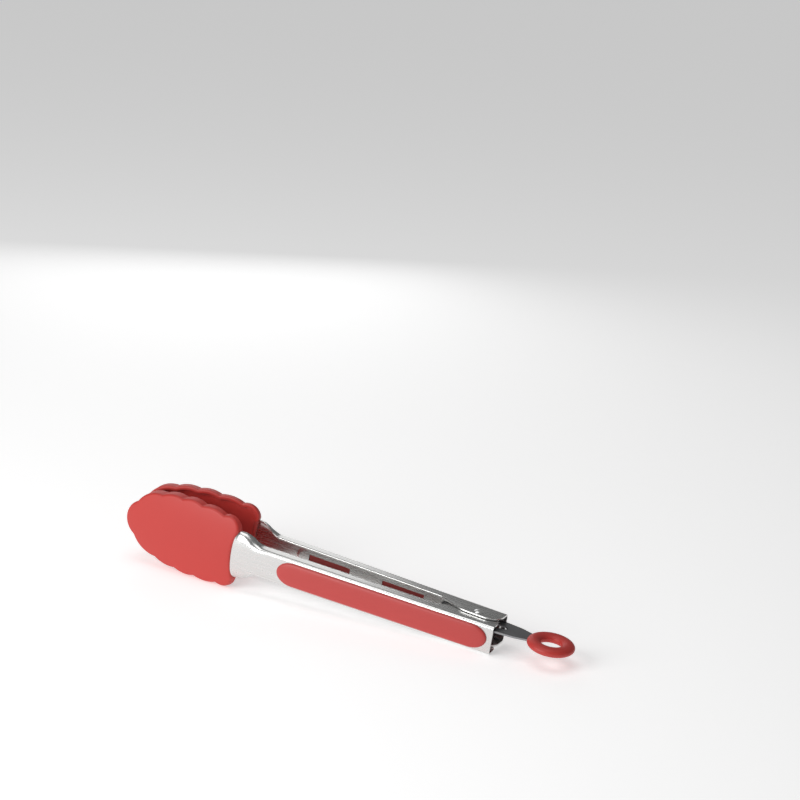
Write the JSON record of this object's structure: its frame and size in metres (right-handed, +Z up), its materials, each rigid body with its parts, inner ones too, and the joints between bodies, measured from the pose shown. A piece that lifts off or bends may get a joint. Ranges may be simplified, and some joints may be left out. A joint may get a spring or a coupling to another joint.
{
  "type": "kitchen tongs",
  "caption": "Spring loaded kitchen tongs with scalloped silicone heads, soft grips and a sliding lock tab with a hanging ring.",
  "frame": {"origin": "middle of the underside of the box round the whole object, lying on its side, closed and locked", "axes": "+X from the jaws towards the hanging ring, +Y from the front arm towards the rear arm, +Z up along the rivet"},
  "size_m": [0.2736, 0.0302, 0.047],
  "materials": {
    "steel": "satin",
    "silicone": "matte",
    "grip": "matte",
    "rivet": "polished",
    "fittings": "satin",
    "spring": "drawn wire"
  },
  "bodies": {
    "front_arm": {"front_arm": "steel", "front_head": "silicone", "front_grip": "grip", "pivot_rivet": "rivet"},
    "rear_arm": {"rear_arm": "steel", "rear_head": "silicone", "rear_grip": "grip"},
    "tab_guide": {"pivot_bush": "fittings", "tab_spacer": "fittings", "torsion_spring": "spring"},
    "lock": {"lock_tab": "fittings", "ring_pull": "silicone"}
  },
  "joints": [
    {"name": "jaw_hinge", "type": "hinge", "parent": "front_arm", "child": "rear_arm", "pos_m": [0.08064, 0, 0.0235], "axis": [0, 0, -1], "range_deg": [0, 23.2], "stiffness_Nm_per_rad": 0.74, "springref_deg": 38.67, "deforming": ["torsion_spring"]},
    {"name": "guide_hinge", "type": "hinge", "parent": "front_arm", "child": "tab_guide", "pos_m": [0.08064, 0, 0.0235], "axis": [0, 0, -1], "range_deg": [0, 11.6]},
    {"name": "tab_slide", "type": "slide", "parent": "tab_guide", "child": "lock", "axis": [-1, 0, 0], "range_m": [0, 0.015]}
  ],
  "couplings": [
    {"joint": "guide_hinge", "follows": "jaw_hinge", "ratio": 0.5},
    {"joint": "tab_slide", "follows": "jaw_hinge", "m_per_rad": 0.037044}
  ]
}
